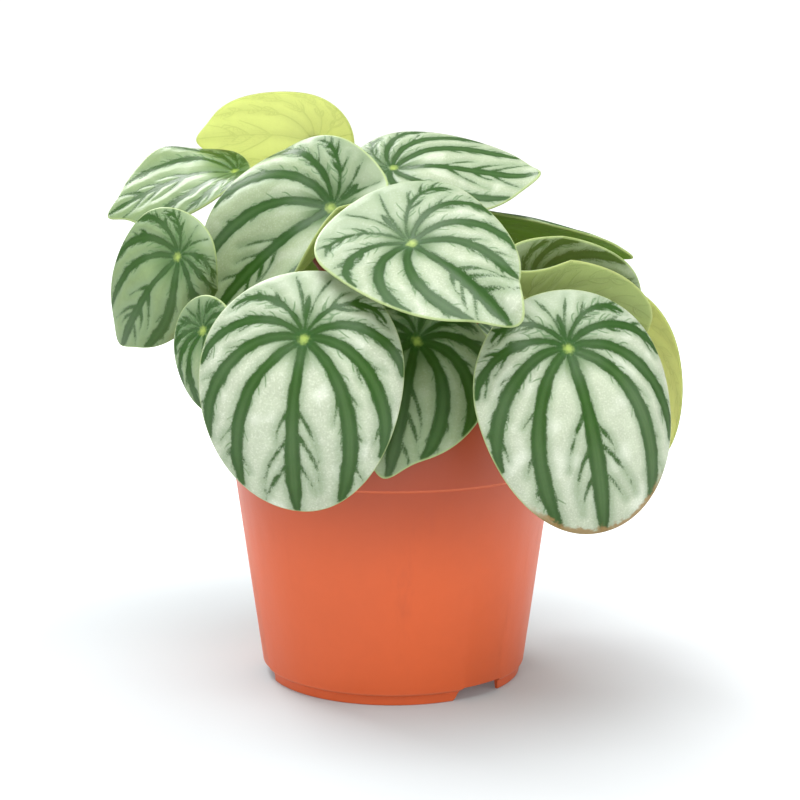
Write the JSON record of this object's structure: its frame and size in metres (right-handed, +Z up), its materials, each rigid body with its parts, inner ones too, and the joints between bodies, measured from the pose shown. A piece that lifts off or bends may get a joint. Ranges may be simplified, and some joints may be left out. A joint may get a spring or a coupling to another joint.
{
  "type": "potted peperomia",
  "caption": "Bushy potted foliage plant: round striped leaves on red stalks droop over the rim of a tapered terracotta-coloured plastic nursery pot filled with soil.",
  "frame": {"origin": "on the pot's axis, at the level of the surface that the pot stands on", "axes": "+Z up along the pot's axis; the front of the plant faces -Y, and +X is its right as seen from the front"},
  "size_m": [0.206, 0.1897, 0.2063],
  "materials": {
    "pot": "satin moulded plastic, terracotta orange, faintly smudged",
    "soil": "damp dark peat with fine crumbs",
    "leaf": "fleshy leaf, silver green with dark green bands above, yellow green below",
    "stalk": "smooth fleshy stalk, reddish below and green towards the leaf"
  },
  "bodies": {
    "root": {"pot": "pot", "soil": "soil", "leaf_front_left": "leaf", "stalk_front_left": "stalk", "leaf_front_right": "leaf", "stalk_front_right": "stalk", "leaf_front_centre": "leaf", "stalk_front_centre": "stalk", "leaf_upper_left": "leaf", "stalk_upper_left": "stalk", "leaf_top_back": "leaf", "stalk_top_back": "stalk", "leaf_left_upper": "leaf", "stalk_left_upper": "stalk", "leaf_left_lower": "leaf", "stalk_left_lower": "stalk", "leaf_left_small": "leaf", "stalk_left_small": "stalk", "leaf_low_centre": "leaf", "stalk_low_centre": "stalk", "leaf_upper_right": "leaf", "stalk_upper_right": "stalk", "leaf_right_upper": "leaf", "stalk_right_upper": "stalk", "leaf_right_folded": "leaf", "stalk_right_folded": "stalk", "leaf_right_low": "leaf", "stalk_right_low": "stalk", "leaf_left_hidden": "leaf", "stalk_left_hidden": "stalk", "leaf_back_right": "leaf", "stalk_back_right": "stalk", "leaf_back_centre": "leaf", "stalk_back_centre": "stalk", "leaf_back_left": "leaf", "stalk_back_left": "stalk", "leaf_back_upper": "leaf", "stalk_back_upper": "stalk", "leaf_young": "leaf", "stalk_young": "stalk"}
  },
  "joints": []
}
